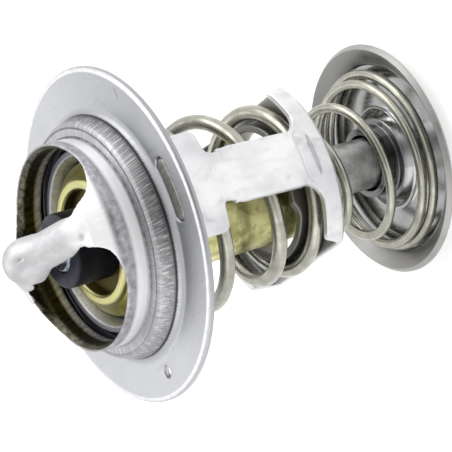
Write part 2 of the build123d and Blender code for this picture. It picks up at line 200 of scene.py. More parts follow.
class Finish:
    """A material under construction, with the nodes that its pattern needs."""

    def __init__(self, name, metallic=1.0, roughness=0.5):
        self.material = bpy.data.materials.new(name)
        self.material.use_nodes = True
        self.tree = self.material.node_tree
        self.shader = self.tree.nodes["Principled BSDF"]
        self.set("Metallic", metallic)
        self.set("Roughness", roughness)
        self.place = self.node("ShaderNodeTexCoord").outputs["Object"]

    def set(self, socket, value):
        self.shader.inputs[socket].default_value = value

    def link(self, value, socket):
        self.tree.links.new(value, self.shader.inputs[socket])

    def node(self, kind, values=(), **settings):
        return grow(self.tree, kind, values, **settings)

    def math(self, operation, *values):
        values = dict(enumerate(values))
        return self.node("ShaderNodeMath", values, operation=operation).outputs[0]

    def times(self, first, *others):
        for other in others:
            first = self.math("MULTIPLY", first, other)
        return first

    def scaled(self, x, y, z):
        values = {"Vector": self.place, "Scale": (x, y, z)}
        return self.node("ShaderNodeMapping", values).outputs[0]

    def parts(self, vector):
        return self.node("ShaderNodeSeparateXYZ", {0: vector}).outputs

    def flat(self):
        """Place seen along the valve's axis, without its height."""
        x, y = self.parts(self.place)[:2]
        return self.node("ShaderNodeCombineXYZ", {0: x, 1: y}).outputs[0]

    def radius_and_height(self):
        length = self.node("ShaderNodeVectorMath", {0: self.flat()}, operation="LENGTH")
        return length.outputs["Value"], self.parts(self.place)[2]

    def polar(self, across, around, up):
        """Radius, direction and height as a pattern's three directions."""
        radius, height = self.radius_and_height()
        unit = self.node("ShaderNodeVectorMath", {0: self.flat()}, operation="NORMALIZE")
        values = {0: unit.outputs[0], "Scale": around}
        turned = self.node("ShaderNodeVectorMath", values, operation="SCALE").outputs[0]
        x, y = self.parts(turned)[:2]
        first = self.math("MULTIPLY_ADD", radius, across, x)
        second = self.math("MULTIPLY_ADD", height, up, y)
        return self.node("ShaderNodeCombineXYZ", {0: first, 1: second}).outputs[0]

    def distance(self, point):
        values = {0: self.place, 1: point}
        return self.node("ShaderNodeVectorMath", values, operation="DISTANCE").outputs["Value"]

    def noise(self, scale, place=None, detail=2.0, distortion=0.0, roughness=0.5):
        values = {
            "Vector": place or self.place,
            "Scale": scale,
            "Detail": detail,
            "Roughness": roughness,
            "Distortion": distortion,
        }
        return self.node("ShaderNodeTexNoise", values).outputs[0]

    def range(self, value, low, high, to_low=0.0, to_high=1.0):
        values = {0: value, 1: low, 2: high, 3: to_low, 4: to_high}
        return self.node("ShaderNodeMapRange", values).outputs[0]

    def zone(self, value, start, rise, stop, drop):
        """One inside a span of a value, fading out at both of its ends."""
        into = self.range(value, start - rise, start + rise)
        return self.times(into, self.range(value, stop - drop, stop + drop, 1.0, 0.0))

    def mix(self, factor, a, b):
        colours = [c if isinstance(c, bpy.types.NodeSocket) else (*c, 1) for c in (a, b)]
        values = {0: factor, 6: colours[0], 7: colours[1]}
        return self.node("ShaderNodeMix", values, data_type="RGBA").outputs[2]

    def relief(self, height, depth, strength=1.0, under=None):
        values = {"Height": height, "Distance": depth, "Strength": strength}
        if under:
            values["Normal"] = under
        return self.node("ShaderNodeBump", values).outputs[0]


flange_radius = 27
shoulder_height = 4.7
dome_radius = 16.6
rim_height = 9.0
cone_reach = 25.9  # radius plus height along the slanted front of the dome
housing_wall = rounded_path(
    offset_path(
        [
            (28, sheet),
            (19.9, sheet),
            (18.7, shoulder_height),
            (dome_radius, shoulder_height),
            (dome_radius, 9.3),
            (13.9, 12.0),
        ],
        sheet / 2,
    ),
    (1.7, 0.7, 0.85, 2.0),
)
bridge_half_width = 3.0
bridge_peak = 20.2
bridge_fall = 0.525
nose_radius = 3.5
nose_centre = 16.8
slot_radius = 22.1
slot_turn = 0.1768


def smooth(value, start, stop):
    """Rises from 0 to 1 between two values, softly at both ends."""
    t = np.clip((value - start) / (stop - start), 0, 1)
    return t * t * (3 - 2 * t)


def slot_distance(x, y):
    """Distance from the curved middle line of the nearer slot."""
    turn = np.clip(np.arctan2(y, abs(x)), -slot_turn, slot_turn)
    return np.hypot(abs(x) - slot_radius * np.cos(turn), y - slot_radius * np.sin(turn))


def dimple(x, y, across, along, depth, width):
    return depth * np.exp(-((x - across) ** 2 + (y - along) ** 2) / width)


def housing_solid(x, y, z):
    r = np.hypot(x, y)
    wall = path_distance(r, z, housing_wall) - sheet / 2
    wall = both(wall, r - flange_radius, np.where(z > 0.5, 0.6, 0.2))
    away, side = abs(x), abs(y)
    # windows, punched from the front, so the cut slants where it meets the upright wall
    reach, corner = 15.0, 3.6
    across, along = corner - (reach - away), corner - (side - bridge_half_width)
    window = np.hypot(np.maximum(across, 0), np.maximum(along, 0)) - corner
    window += np.minimum(np.maximum(across, along), 0)
    rim = (rim_height - np.clip(dome_radius - r, 0, 1.1) - z) * 0.75
    wall = both(wall, -both(window, rim, 2.5), 0.2)
    # bridge: two arched ridges that rise from the flat fans to the nose between them
    crest = bridge_peak - bridge_fall * np.hypot(away, 1.2)
    above = (z - crest) / np.hypot(1, bridge_fall) + bridge_half_width
    arch = np.where(above > 0, np.hypot(above, side), side) - bridge_half_width
    spread = smooth(away, 10.4, 13.4)
    spring_line = crest - 3.4 + away
    fan = spring_line + (cone_reach - spring_line) * spread
    legs = both(-window, (r + z - fan) / np.sqrt(2), 0.5)
    limit = 26.0 - 0.2 * np.clip((r - 12.2) / 2.0, 0, 1)
    strap = both(either(arch, legs, 1.2), (r + z - limit) / np.sqrt(2), 0.8)
    cap = z - nose_centre
    nose = np.where(cap > 0, np.sqrt(r * r + cap**2), r) - nose_radius
    solid = either(strap, nose, 1.6)
    dents = dimple(x, y, 12.5, -1.4, 0.3, 0.5) + dimple(x, y, 2.95, -0.15, 0.2, 0.09)
    bridge = abs(solid + dents + sheet / 2) - sheet / 2
    floor = both(12.8 - 1.8 * spread, 17.0 - bridge_fall * np.maximum(away, 4.2), 1.0)
    bridge = np.maximum(both(bridge, floor - z, 0.25), r - 14.4)
    # slots for the tabs, and the vent hole
    slots = slot_distance(x, y) - 1.3
    vent = np.hypot(x, y + 22.9) - 1.0
    return both(either(wall, bridge, 0.1), -np.minimum(slots, vent), 0.2)


drawn = Finish("drawn_steel")
radius, height = drawn.radius_and_height()
cloud = drawn.noise(170, detail=4)
fine_cloud = drawn.noise(900, detail=5, roughness=0.7)
specks = drawn.range(drawn.noise(1900, detail=3, roughness=0.7), 0.62, 0.72)
rings = drawn.noise(1.0, drawn.polar(2600, 6, 2600), detail=3)
strokes = drawn.noise(1.0, drawn.polar(180, 88, 180), detail=5, roughness=0.65)
scuffs = drawn.noise(260, drawn.scaled(1, 9, 2), detail=5, distortion=0.6)
scuffs = drawn.range(scuffs, 0.62, 0.7)
x, y = drawn.parts(drawn.place)[:2]


def side_of(across, along):
    """How far a point of the housing lies toward one side: 1 there, -1 opposite."""
    shift = drawn.math("ADD", drawn.times(x, across), drawn.times(y, along))
    return drawn.math("DIVIDE", shift, radius)


# plain metal: light on the dome, and on the flange a painted dark reflection toward one side
tone = drawn.mix(drawn.range(cloud, 0.35, 0.7), (0.69, 0.69, 0.7), (0.6, 0.6, 0.615))
toward = drawn.range(side_of(0.985, 0.17), 0.0, 0.92)
plain = drawn.mix(toward, (0.54, 0.545, 0.57), (0.38, 0.385, 0.4))
plain = drawn.mix(drawn.range(cloud, 0.4, 0.75, 0, 0.3), plain, (0.44, 0.445, 0.46))
flange = drawn.range(radius, 0.0194, 0.0199)
tone = drawn.mix(flange, tone, plain)
tone = drawn.mix(drawn.times(specks, 0.35), tone, (0.27, 0.265, 0.27))
tone = drawn.mix(drawn.times(scuffs, 0.28), tone, (0.38, 0.37, 0.39))
# painted highlight along the flange's rounded edge
edge = drawn.zone(radius, 0.0262, 0.0001, 0.0268, 0.0001)
edge = drawn.times(edge, drawn.range(fine_cloud, 0.3, 0.6, 0.4, 0.9))
tone = drawn.mix(edge, tone, (0.9, 0.9, 0.91))
# rubbed patch on the flange, with a few pits and one short scratch
patch = drawn.range(drawn.distance((0.0128, 0.0205, 0.001)), 0.0015, 0.0062, 1, 0)
pits = drawn.range(drawn.noise(2300, detail=3, roughness=0.7), 0.6, 0.66)
pits = drawn.times(pits, patch)
tone = drawn.mix(drawn.times(pits, 0.5), tone, (0.2, 0.195, 0.19))
chalk = drawn.range(drawn.noise(2900, detail=3, roughness=0.7), 0.62, 0.67)
tone = drawn.mix(drawn.times(chalk, patch, 0.6), tone, (0.8, 0.8, 0.81))
across = drawn.math("ABSOLUTE", drawn.math("SUBTRACT", x, 0.01745))
along = drawn.math("ABSOLUTE", drawn.math("SUBTRACT", y, 0.0177))
scratch = drawn.times(
    drawn.range(across, 0.00008, 0.0002, 1, 0),
    drawn.range(along, 0.0006, 0.0011, 1, 0),
    flange,
)
tone = drawn.mix(drawn.times(scratch, 0.7), tone, (0.15, 0.15, 0.16))
# skirt and shoulder are a little darker than the dome
shelf = drawn.times(
    drawn.range(height, 0.0048, 0.0053, 0.6, 0),
    drawn.range(radius, 0.0194, 0.0199, 1, 0),
)
tone = drawn.mix(shelf, tone, (0.44, 0.44, 0.455))
# the skirt's foot gets painted shade, deeper on one side, down to a black line of painted shade
# in the corner, and strokes run up from it
wavy = drawn.math("MULTIPLY_ADD", drawn.range(strokes, 0.3, 0.7, -1, 1), 0.00028, height)
shade = drawn.range(side_of(0.62, 0.78), -0.75, 0.5, 0.4, 1.0)
inside_foot = drawn.range(radius, 0.0202, 0.0205, 1, 0)
foot = drawn.times(
    drawn.zone(wavy, 0.0019, 0.0003, 0.0036, 0.0011),
    inside_foot,
    drawn.range(radius, 0.0176, 0.0180),
    shade,
    drawn.range(fine_cloud, 0.3, 0.65, 0.65, 1.0),
)
tone = drawn.mix(foot, tone, (0.085, 0.085, 0.09))
# black line of painted shade in the corner between the skirt's foot and the flange
ripple = drawn.math("MULTIPLY_ADD", strokes, 0.00025, height)
corner_shade_line = drawn.times(
    drawn.zone(ripple, 0.0019, 0.0001, 0.0023, 0.00012),
    inside_foot,
    drawn.range(radius, 0.0176, 0.0180, 0, 0.92),
)
tone = drawn.mix(corner_shade_line, tone, (0.03, 0.03, 0.032))
skirt = drawn.times(
    drawn.zone(height, 0.0024, 0.0005, 0.0052, 0.0003),
    drawn.range(radius, 0.0168, 0.0171),
    drawn.range(strokes, 0.38, 0.62, 0.1, 0.75),
)
tone = drawn.mix(skirt, tone, (0.26, 0.255, 0.27))
# painted glints along the skirt's strokes
glints = drawn.noise(1.0, drawn.polar(700, 60, 700), detail=5, roughness=0.7)
glints = drawn.times(
    drawn.range(glints, 0.5, 0.66, 0, 0.75),
    drawn.zone(height, 0.0024, 0.0003, 0.0045, 0.0005),
    drawn.range(radius, 0.0170, 0.0173),
)
tone = drawn.mix(glints, tone, (0.9, 0.9, 0.9))
# painted shade lines in the corner of the shoulder and along its outer bend, deeper on one side
corner = drawn.zone(radius, 0.01662, 0.00006, 0.01692, 0.00008)
bend = drawn.zone(radius, 0.01800, 0.00007, 0.01826, 0.00009)
crease_shade = drawn.times(
    drawn.math("MAXIMUM", corner, bend),
    drawn.zone(height, 0.0040, 0.0001, 0.0056, 0.0003),
    drawn.range(fine_cloud, 0.35, 0.6, 0.62, 0.95),
    shade,
)
tone = drawn.mix(crease_shade, tone, (0.09, 0.09, 0.095))
# the dome's upright wall gets a painted highlight below, and a mottled grey band of painted
# shade where it turns to the front
on_dome = drawn.range(radius, 0.0160, 0.0163)
turn = drawn.times(
    drawn.zone(height, 0.0070, 0.0005, 0.0094, 0.0005),
    drawn.range(fine_cloud, 0.35, 0.62, 0.35, 1.0),
    on_dome,
)
tone = drawn.mix(turn, tone, (0.29, 0.285, 0.31))
wall_highlight = drawn.times(drawn.zone(height, 0.0052, 0.0002, 0.0070, 0.0003), on_dome, 0.9)
tone = drawn.mix(wall_highlight, tone, (0.97, 0.97, 0.98))
# the front is nearly white, and the nose and the ridges are matt grey
above = drawn.range(height, 0.0092, 0.0099, 0, 0.9)
tone = drawn.mix(above, tone, (0.88, 0.88, 0.89))
top = drawn.times(
    drawn.range(height, 0.0142, 0.0152), drawn.range(cloud, 0.35, 0.65, 0.5, 1.0)
)
tone = drawn.mix(top, tone, (0.56, 0.56, 0.57))
arm = drawn.times(
    drawn.range(radius, 0.0100, 0.0122, 1, 0),
    drawn.range(cloud, 0.35, 0.65, 0.6, 1.0),
    drawn.range(height, 0.0100, 0.0106),
)
matt = drawn.mix(drawn.range(fine_cloud, 0.35, 0.65), (0.5, 0.5, 0.51), (0.6, 0.6, 0.61))
tone = drawn.mix(arm, tone, matt)
# painted shade in the two small dents, one where the ridge runs out and one on the nose
for spot, width in (((0.0126, -0.0014, 0.0131), 0.0009), ((0.00295, -0.00015, 0.0191), 0.0004)):
    dent_shade = drawn.range(drawn.distance(spot), width / 3, width, 0.7, 0)
    dent_shade = drawn.times(dent_shade, drawn.range(fine_cloud, 0.35, 0.6, 0.5, 1.0))
    tone = drawn.mix(dent_shade, tone, (0.27, 0.27, 0.28))
# the pierced edge of the windows gets painted shade, and the wall inside a mottled painted dark
# reflection
bearing = drawn.parts(drawn.node("ShaderNodeTexCoord").outputs["Normal"])
facing = drawn.math("ADD", drawn.times(bearing[0], x), drawn.times(bearing[1], y))
inward = drawn.math("DIVIDE", facing, radius)
within = drawn.times(
    drawn.range(inward, -0.42, -0.3, 1, 0),
    drawn.range(height, 0.0036, 0.0042),
    drawn.range(radius, 0.0095, 0.0105),
)
under = drawn.times(
    drawn.range(bearing[2], -0.35, -0.2, 1, 0), drawn.range(height, 0.0080, 0.0085)
)
inner_mottle = drawn.noise(1.0, drawn.polar(120, 26, 700), detail=5, roughness=0.65)
inner_shade_and_highlight = drawn.range(inner_mottle, 0.38, 0.62)
inner_shade_and_highlight = drawn.mix(inner_shade_and_highlight, (0.022, 0.019, 0.009), (0.075, 0.068, 0.03))
cut_edge_shade = drawn.range(fine_cloud, 0.38, 0.62)
cut_edge_shade = drawn.mix(cut_edge_shade, (0.05, 0.048, 0.03), (0.2, 0.19, 0.145))
inner_shade_and_highlight = drawn.mix(drawn.range(height, 0.0076, 0.0081), inner_shade_and_highlight, cut_edge_shade)
# band of painted highlight on the shoulder's inner bend
bend_highlight = drawn.zone(height, 0.0047, 0.0001, 0.0060, 0.0003)
bend_highlight = drawn.times(bend_highlight, drawn.range(inner_mottle, 0.35, 0.6, 0.5, 1.0))
inner_shade_and_highlight = drawn.mix(bend_highlight, inner_shade_and_highlight, (0.95, 0.94, 0.96))
tone = drawn.mix(drawn.math("MAXIMUM", within, under), tone, inner_shade_and_highlight)
drawn.link(tone, "Base Color")
satin = drawn.range(strokes, 0.3, 0.7, 0.34, 0.5)
satin = drawn.math("ADD", satin, drawn.range(height, 0.0098, 0.0112, 0, 0.1))
drawn.link(satin, "Roughness")
grain = drawn.relief(drawn.noise(5200, detail=2), 0.00002, 0.4)
grain = drawn.relief(rings, 0.00002, 0.15, grain)
grain = drawn.relief(fine_cloud, 0.00006, 0.4, grain)
brushed = drawn.times(strokes, drawn.zone(height, 0.0015, 0.0004, 0.0052, 0.0004))
grain = drawn.relief(brushed, 0.00005, 0.5, grain)
pitted = drawn.math("MAXIMUM", scuffs, drawn.math("MAXIMUM", pits, scratch))
drawn.link(drawn.relief(pitted, -0.00005, 0.4, grain), "Normal")

housing_radii = np.concatenate(
    [
        np.arange(0, 13, 0.28),
        np.arange(13.04, 24, 0.26),
        np.arange(24.1, 26.4, 0.5),
        (26.6, 26.85, 27.1, 27.3),
    ]
)
housing_skin = skin(housing_solid, housing_radii, np.arange(-0.36, 20.9, 0.27), 384)
fit("housing_sheet", *housing_skin, drawn.material, "housing", "casing", "housing_steel")


# Piston. A ground steel pin that stands in the nose's pocket and reaches through the
# guide into the capsule's rubber boot. It is held, so the capsule slides along it.


def turned(name, outline, radii, finish, node, body, slot, steps=160, opening=None):
    """Turned piece from its half section, a closed loop or one that ends on the axis.

    Every corner gets its radius, and a fine row beside each arc keeps the flats flat.
    """
    loop = np.array(outline, float)
    closed = loop[0][0] > 0 or loop[-1][0] > 0
    if closed:
        middle = (loop[-1] + loop[0]) / 2
        loop = np.vstack([middle, loop, middle])
    path = rounded_path(loop, radii if closed else radii[1:-1], 6)
    rows = [path[0]]
    for a, b in zip(path[:-1], path[1:]):
        length = np.linalg.norm(b - a)
        if length > 0.4:
            rows += [a + (b - a) * 0.08 / length, b - (b - a) * 0.08 / length]
        rows.append(b)
    rows = np.array(rows[:-1] if closed else rows)
    whole = opening is None
    start, sweep = (0, 2 * pi) if whole else (opening[0], opening[1] - opening[0])
    count = steps if whole else steps + 1
    angles = start + np.arange(count) * sweep / steps
    points, faces, index = [], [], np.zeros((len(rows), count), int)
    for i, (r, z) in enumerate(rows):
        if r < 1e-6:
            index[i] = len(points)
            points.append((0, 0, z))
            continue
        index[i] = len(points) + np.arange(count)
        points.extend((r * cos(a), r * sin(a), z) for a in angles)
    for i in range(len(rows) if closed else len(rows) - 1):
        lower, upper = index[i], index[(i + 1) % len(rows)]
        for j in range(steps):
            k = (j + 1) % count
            quad = [lower[j], lower[k], upper[k], upper[j]]
            faces.append([int(v) for v in dict.fromkeys(quad)])
    if not whole:
        faces += [index[:, 0].tolist(), index[:, -1].tolist()[::-1]]
    piece = fit(name, points, faces, finish, node, body, slot)
    area = 0.0
    for a, b in zip(rows, np.roll(rows, -1, axis=0)):
        area += a[0] * b[1] - b[0] * a[1]
    if area < 0:
        piece.data.flip_normals()
    return piece


ground = Finish("ground_steel")
marks = ground.noise(1.0, ground.polar(900, 3, 9000), detail=2)
ground.link(ground.range(marks, 0.3, 0.7, 0.16, 0.34), "Roughness")
ground.link(ground.mix(marks, (0.42, 0.41, 0.4), (0.6, 0.59, 0.58)), "Base Color")
ground.link(ground.relief(marks, 0.00001, 0.3), "Normal")
turned(
    "piston_pin",
    [(0, -20.9), (1.2, -20.9), (1.9, -20.2), (1.9, 19.5), (0, 19.5)],
    (0, 0.15, 0.15, 0.4, 0),
    ground.material,
    "piston",
    "casing",
    "piston_steel",
    steps=64,
)


# Capsule. A drawn brass cup full of wax, with a wide collar that is rolled over the
# guide's flange to close it, so that its lip turns inward round a dark mouth.
brass = Finish("capsule_brass")
blotches = brass.noise(260, detail=5, distortion=0.8)
patches = brass.noise(900, detail=4)
radius, height = brass.radius_and_height()
turning = brass.noise(1.0, brass.polar(3000, 8, 3000), detail=2)
tone = brass.mix(brass.range(blotches, 0.35, 0.65), (0.34, 0.32, 0.12), (0.72, 0.69, 0.36))
tone = brass.mix(brass.range(patches, 0.5, 0.72, 0, 0.6), tone, (0.2, 0.185, 0.07))
collar = brass.range(height, 0.0016, 0.0020)
tone = brass.mix(collar, tone, brass.mix(patches, (0.25, 0.225, 0.055), (0.42, 0.385, 0.11)))
# the rolled lip is painted pale as a painted reflection, and the mouth inside it is painted
# dark as shade
rolled = brass.zone(radius, 0.0084, 0.0001, 0.0104, 0.0003)
rolled = brass.times(rolled, brass.range(height, 0.0041, 0.0046))
tone = brass.mix(rolled, tone, brass.mix(blotches, (0.52, 0.49, 0.2), (0.66, 0.63, 0.32)))
mouth = brass.times(
    brass.range(radius, 0.00838, 0.00846, 1, 0),
    brass.range(height, 0.0022, 0.0026),
)
tone = brass.mix(mouth, tone, (0.1, 0.085, 0.02))
brass.link(tone, "Base Color")
brass.link(brass.range(blotches, 0.3, 0.7, 0.28, 0.46), "Roughness")
grain = brass.relief(turning, 0.00002, 0.25)
brass.link(brass.relief(patches, 0.00004, 0.25, grain), "Normal")
turned(
    "capsule_cup",
    [
        (0, -34.2),
        (8.3, -34.2),
        (8.3, 1.7),
        (12.3, 1.7),
        (12.3, 3.3),
        (10.5, 4.6),
        (10.0, 5.4),
        (8.4, 5.4),
        (8.4, 3.6),
        (11.2, 3.6),
        (11.2, 2.5),
        (7.5, 2.5),
        (7.5, -33.4),
        (0, -33.4),
    ],
    (0, 0.5, 0.2, 0.25, 0.6, 0.4, 0.7, 0.6, 0.1, 0.1, 0.2, 0.3, 0.4, 0),
    brass.material,
    "wax_cup",
    "element",
    "capsule_brass",
)


# Guide, sleeve and what the capsule holds. The steel guide is a tube with a flange, and a
# rubber sleeve is moulded round it. Inside lie the rubber boot, its plastic ring and
# the wax, which are closed in and never seen.
guide = Finish("guide_steel")
height = guide.radius_and_height()[1]
spots = guide.noise(1100, detail=5, roughness=0.65)
tip = guide.mix(guide.range(spots, 0.42, 0.6), (0.06, 0.07, 0.1), (0.42, 0.46, 0.54))
# painted shade, dark brown, on the guide's flange down in the capsule's mouth
mouth_shade = guide.mix(spots, (0.03, 0.025, 0.008), (0.13, 0.105, 0.03))
tone = guide.mix(guide.range(height, 0.004, 0.0045), mouth_shade, tip)
guide.link(tone, "Base Color")
guide.link(guide.range(spots, 0.3, 0.7, 0.3, 0.55), "Roughness")
guide.link(guide.relief(spots, 0.00005, 0.5), "Normal")
turned(
    "guide_tube",
    [
        (1.95, 2.9),
        (11.2, 2.9),
        (11.2, 3.6),
        (3.4, 3.6),
        (3.4, 10.65),
        (2.9, 11.15),
        (1.95, 11.15),
    ],
    (0.1, 0.15, 0.15, 0.2, 0.1, 0.15, 0.25),
    guide.material,
    "guide",
    "element",
    "valve_steel",
    steps=120,
)

rubber = Finish("sleeve_rubber", metallic=0.0)
dust = rubber.noise(420, detail=5)
pores = rubber.noise(4200, detail=2)
dusty = rubber.range(dust, 0.4, 0.75)
tone = rubber.mix(dusty, (0.003, 0.003, 0.008), (0.012, 0.0125, 0.024))
height = rubber.radius_and_height()[1]
# painted light: the sleeve's end face is lighter bluish grey than its sides
end = rubber.mix(dust, (0.028, 0.029, 0.046), (0.045, 0.047, 0.072))
tone = rubber.mix(rubber.range(height, 0.01065, 0.0109), tone, end)
rubber.link(tone, "Base Color")
rubber.set("Specular IOR Level", 0.3)
rubber.link(rubber.range(dust, 0.3, 0.7, 0.4, 0.6), "Roughness")
rubber.link(rubber.relief(pores, 0.00003, 0.3), "Normal")
turned(
    "guide_sleeve_rubber",
    [(3.4, 3.6), (5.95, 3.6), (5.95, 11.0), (3.4, 11.0)],
    (0.1, 0.1, 0.6, 0.15),
    rubber.material,
    "guide_sleeve",
    "element",
    "sleeve_rubber",
    steps=120,
)

plastic = Finish("washer_plastic", metallic=0.0, roughness=0.4)
flow = plastic.noise(900, detail=3)
plastic.link(plastic.mix(flow, (0.74, 0.71, 0.64), (0.86, 0.84, 0.78)), "Base Color")
wax = Finish("wax_charge", metallic=0.0)
wax.set("Subsurface Weight", 0.2)
clots = wax.noise(700, detail=4)
wax.link(wax.mix(clots, (0.62, 0.48, 0.28), (0.82, 0.7, 0.48)), "Base Color")
for node, finish in (
    ("piston_boot", rubber),
    ("boot_washer", plastic),
    ("wax_charge", wax),
):
    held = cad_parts[node]
    for place in held.material_slots:
        place.material = finish.material


# Stem. A turned steel rod, pressed on the capsule's rear end, with a groove near its
# own end for the snap ring. Its lathe marks run round it.
stem = Finish("stem_steel")
lathe_marks = stem.noise(1.0, stem.polar(2000, 5, 2600), detail=3)
stains = stem.noise(420, detail=5, roughness=0.6)
tone = stem.mix(stem.range(stains, 0.38, 0.62), (0.5, 0.5, 0.5), (0.78, 0.77, 0.76))
tone = stem.mix(stem.range(lathe_marks, 0.4, 0.7, 0, 0.3), tone, (0.36, 0.36, 0.36))
stem.link(tone, "Base Color")
stem.link(stem.range(stains, 0.3, 0.7, 0.34, 0.5), "Roughness")
stem.link(stem.relief(lathe_marks, 0.00002, 0.3), "Normal")
turned(
    "stem_rod",
    [
        (0, -53.1),
        (3.95, -53.1),
        (4.2, -52.85),
        (4.2, -52.5),
        (3.6, -52.5),
        (3.6, -51.5),
        (4.2, -51.5),
        (4.2, -34.2),
        (0, -34.2),
    ],
    (0, 0.08, 0.08, 0.08, 0.05, 0.05, 0.08, 0.2, 0),
    stem.material,
    "stem",
    "element",
    "stem_steel",
    steps=120,
)


# Valve plate and seal. A pressed steel ring with a raised stiffening ridge is pushed on
# the capsule, and a rubber ring is moulded over its rim to close on the shoulder.


def sheet_section(points, radii, thickness, side, edge=0.15):
    """Half section of a pressed sheet, from one face's line and its corner radii."""
    line = np.array(points, float)
    other = offset_path(line, thickness * side)
    turns = np.diff(line, axis=0)
    inner = []
    for a, b, radius in zip(turns[:-1], turns[1:], radii):
        toward = (a[0] * b[1] - a[1] * b[0]) * side > 0
        inner.append(max(radius + (-thickness if toward else thickness), 0.1))
    rounds = [edge, *radii, edge, edge, *inner[::-1], edge]
    return [*line.tolist(), *other[::-1].tolist()], rounds


plate = Finish("plate_steel")
radius, height = plate.radius_and_height()
mottle = plate.noise(1500, detail=5, distortion=0.4, roughness=0.7)
strokes = plate.noise(1.0, plate.polar(5200, 14, 5200), detail=2)
tone = plate.mix(plate.range(mottle, 0.3, 0.62), (0.56, 0.56, 0.57), (0.82, 0.82, 0.84))
# painted shade, near black, in the groove between the ridge and the seal
front = plate.times(
    plate.range(height, 0.00165, 0.0018),
    plate.range(radius, 0.01455, 0.0147),
)
tone = plate.mix(front, tone, (0.02, 0.021, 0.026))
# painted dark reflection on the ridge's flat top
crown = plate.zone(radius, 0.0138, 0.00012, 0.0146, 0.0001)
crown = plate.times(crown, plate.range(height, 0.0039, 0.0041, 0, 0.8))
tone = plate.mix(crown, tone, (0.12, 0.125, 0.15))
# painted shade in the gap between the capsule and the ridge
foot = plate.range(radius, 0.0128, 0.0131, 1, 0)
foot = plate.times(foot, plate.range(height, 0.00165, 0.0018))
tone = plate.mix(foot, tone, (0.04, 0.038, 0.03))
plate.link(tone, "Base Color")
plate.link(plate.range(mottle, 0.3, 0.7, 0.42, 0.6), "Roughness")
grain = plate.relief(strokes, 0.00002, 0.25)
plate.link(plate.relief(mottle, 0.00005, 0.35, grain), "Normal")
section, rounds = sheet_section(
    [(8.3, 1.7), (12.8, 1.7), (13.71, 4.3), (14.69, 4.3), (15.6, 1.7), (16.4, 1.7)],
    (0.3, 0.35, 0.35, 0.3),
    0.8,
    -1,
)
turned(
    "valve_plate_ring",
    section,
    rounds,
    plate.material,
    "valve_plate",
    "element",
    "valve_steel",
    steps=200,
)

seal = Finish("seal_rubber", metallic=0.0)
bloom = seal.noise(600, detail=4)
seal.link(seal.mix(bloom, (0.02, 0.022, 0.03), (0.07, 0.075, 0.09)), "Base Color")
seal.link(seal.range(bloom, 0.3, 0.7, 0.36, 0.55), "Roughness")
seal.link(seal.relief(seal.noise(4000), 0.00002, 0.3), "Normal")
turned(
    "seal_ring",
    [(15.6, 1.7), (15.6, 3.4), (17.2, 3.4), (17.2, 0.9), (16.4, 0.9), (16.4, 1.7)],
    (0.1, 0.42, 0.42, 0.2, 0.1, 0.1),
    seal.material,
    "valve_seal",
    "element",
    "seal_rubber",
    steps=200,
)


# Main spring. Hard drawn steel wire coiled right-hand, slightly narrower at the rear,
# with a closed turn at each end. It pushes the valve plate on its seat.


def coil_tree(name, radius_shares, height_shares):
    """Geometry Nodes for a coiled spring; the shares say how radius and height change."""
    tree = bpy.data.node_groups.new(name, "GeometryNodeTree")
    for label, kind, value in (
        ("Wire Diameter", "NodeSocketFloat", 0.002),
        ("Turns", "NodeSocketFloat", 4.0),
        ("Start Angle", "NodeSocketFloat", 0.0),
        ("Front Radius", "NodeSocketFloat", 0.01),
        ("Rear Radius", "NodeSocketFloat", 0.01),
        ("Front Height", "NodeSocketFloat", 0.0),
        ("Rear Height", "NodeSocketFloat", -0.01),
        ("Points", "NodeSocketInt", 200),
        ("Finish", "NodeSocketMaterial", None),
    ):
        socket = tree.interface.new_socket(label, in_out="INPUT", socket_type=kind)
        if value is not None:
            socket.default_value = value
    tree.interface.new_socket("Geometry", in_out="OUTPUT", socket_type="NodeSocketGeometry")
    given = tree.nodes.new("NodeGroupInput").outputs

    def add(kind, values=(), **settings):
        return grow(tree, kind, values, **settings)

    def reckon(operation, a, b=0.0):
        return add("ShaderNodeMath", {0: a, 1: b}, operation=operation).outputs[0]

    def share(rows, start, end):
        curve = add("ShaderNodeFloatCurve", {"Value": along})
        points = curve.mapping.curves[0].points
        for n, (at, value) in enumerate(rows):
            point = points[n] if n < 2 else points.new(at, value)
            point.location = (at, value)
            point.handle_type = "AUTO_CLAMPED"
        curve.mapping.update()
        span = reckon("SUBTRACT", end, start)
        return reckon("ADD", start, reckon("MULTIPLY", span, curve.outputs[0]))

    line = add("GeometryNodeMeshLine", {"Count": given["Points"]}).outputs[0]
    path = add("GeometryNodeMeshToCurve", {"Mesh": line}).outputs[0]
    along = add("GeometryNodeSplineParameter").outputs["Factor"]
    turn = reckon("MULTIPLY", reckon("MULTIPLY", along, given["Turns"]), -2 * pi)
    angle = reckon("ADD", turn, given["Start Angle"])
    radius = share(radius_shares, given["Front Radius"], given["Rear Radius"])
    place = add(
        "ShaderNodeCombineXYZ",
        {
            0: reckon("MULTIPLY", radius, reckon("COSINE", angle)),
            1: reckon("MULTIPLY", radius, reckon("SINE", angle)),
            2: share(height_shares, given["Front Height"], given["Rear Height"]),
        },
    ).outputs[0]
    coiled = add("GeometryNodeSetPosition", {"Geometry": path, "Position": place}).outputs[0]
    half = reckon("DIVIDE", given["Wire Diameter"], 2.0)
    ring = add("GeometryNodeCurvePrimitiveCircle", {"Resolution": 24, "Radius": half})
    rod = add(
        "GeometryNodeCurveToMesh",
        {"Curve": coiled, "Profile Curve": ring.outputs[0], "Fill Caps": True},
    ).outputs[0]
    real = add("GeometryNodeRealizeInstances", {"Geometry": rod}).outputs[0]
    dressed = add("GeometryNodeSetMaterial", {"Geometry": real, "Material": given["Finish"]})
    add("NodeGroupOutput", {0: dressed.outputs[0]})
    return tree


